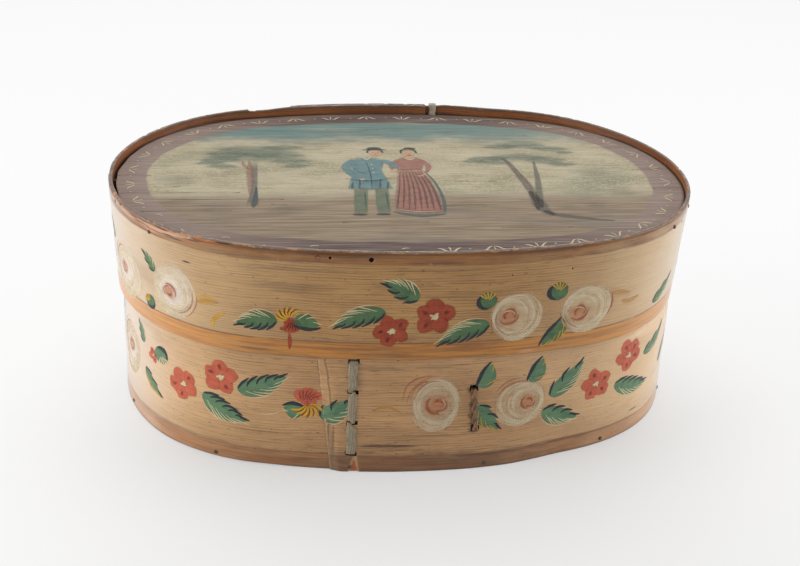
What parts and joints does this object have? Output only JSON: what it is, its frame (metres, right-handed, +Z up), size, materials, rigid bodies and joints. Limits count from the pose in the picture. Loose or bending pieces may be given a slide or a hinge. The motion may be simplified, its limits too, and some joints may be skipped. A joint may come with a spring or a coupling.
{
  "type": "bentwood oval box",
  "caption": "Oval bentwood box with a sewn wall and a lift-off lid, for keeping linen, bonnets or trinkets.",
  "frame": {"origin": "centre of the underside, on the surface the box stands on", "axes": "+X along the length, -Y the front with the sewn lap of the box, +Z up through the lid"},
  "size_m": [0.482, 0.3284, 0.1926],
  "materials": {
    "band_wood": "old bare softwood with painted flowers",
    "lid_band_wood": "varnished softwood with painted flowers",
    "board_wood": "bare softwood board",
    "lid_board_paint": "painted softwood board, matt",
    "peg_wood": "dark hardwood pegs",
    "lace": "weathered split root, grey",
    "root": "thin dark root"
  },
  "bodies": {
    "box": {"body_band": "band_wood", "bottom_board": "board_wood", "bottom_pegs": "peg_wood", "body_lace_first": "lace", "body_lace_second": "lace", "body_lace_root": "root"},
    "lid": {"lid_band": "lid_band_wood", "lid_board": "lid_board_paint", "lid_pegs": "peg_wood", "lid_lace_first": "lace", "lid_lace_second": "lace", "lid_lace_rim": "lace"}
  },
  "joints": [
    {"name": "lid_lift", "type": "slide", "parent": "box", "child": "lid", "axis": [0, 0, 1], "range_m": [0, 0.2]}
  ]
}
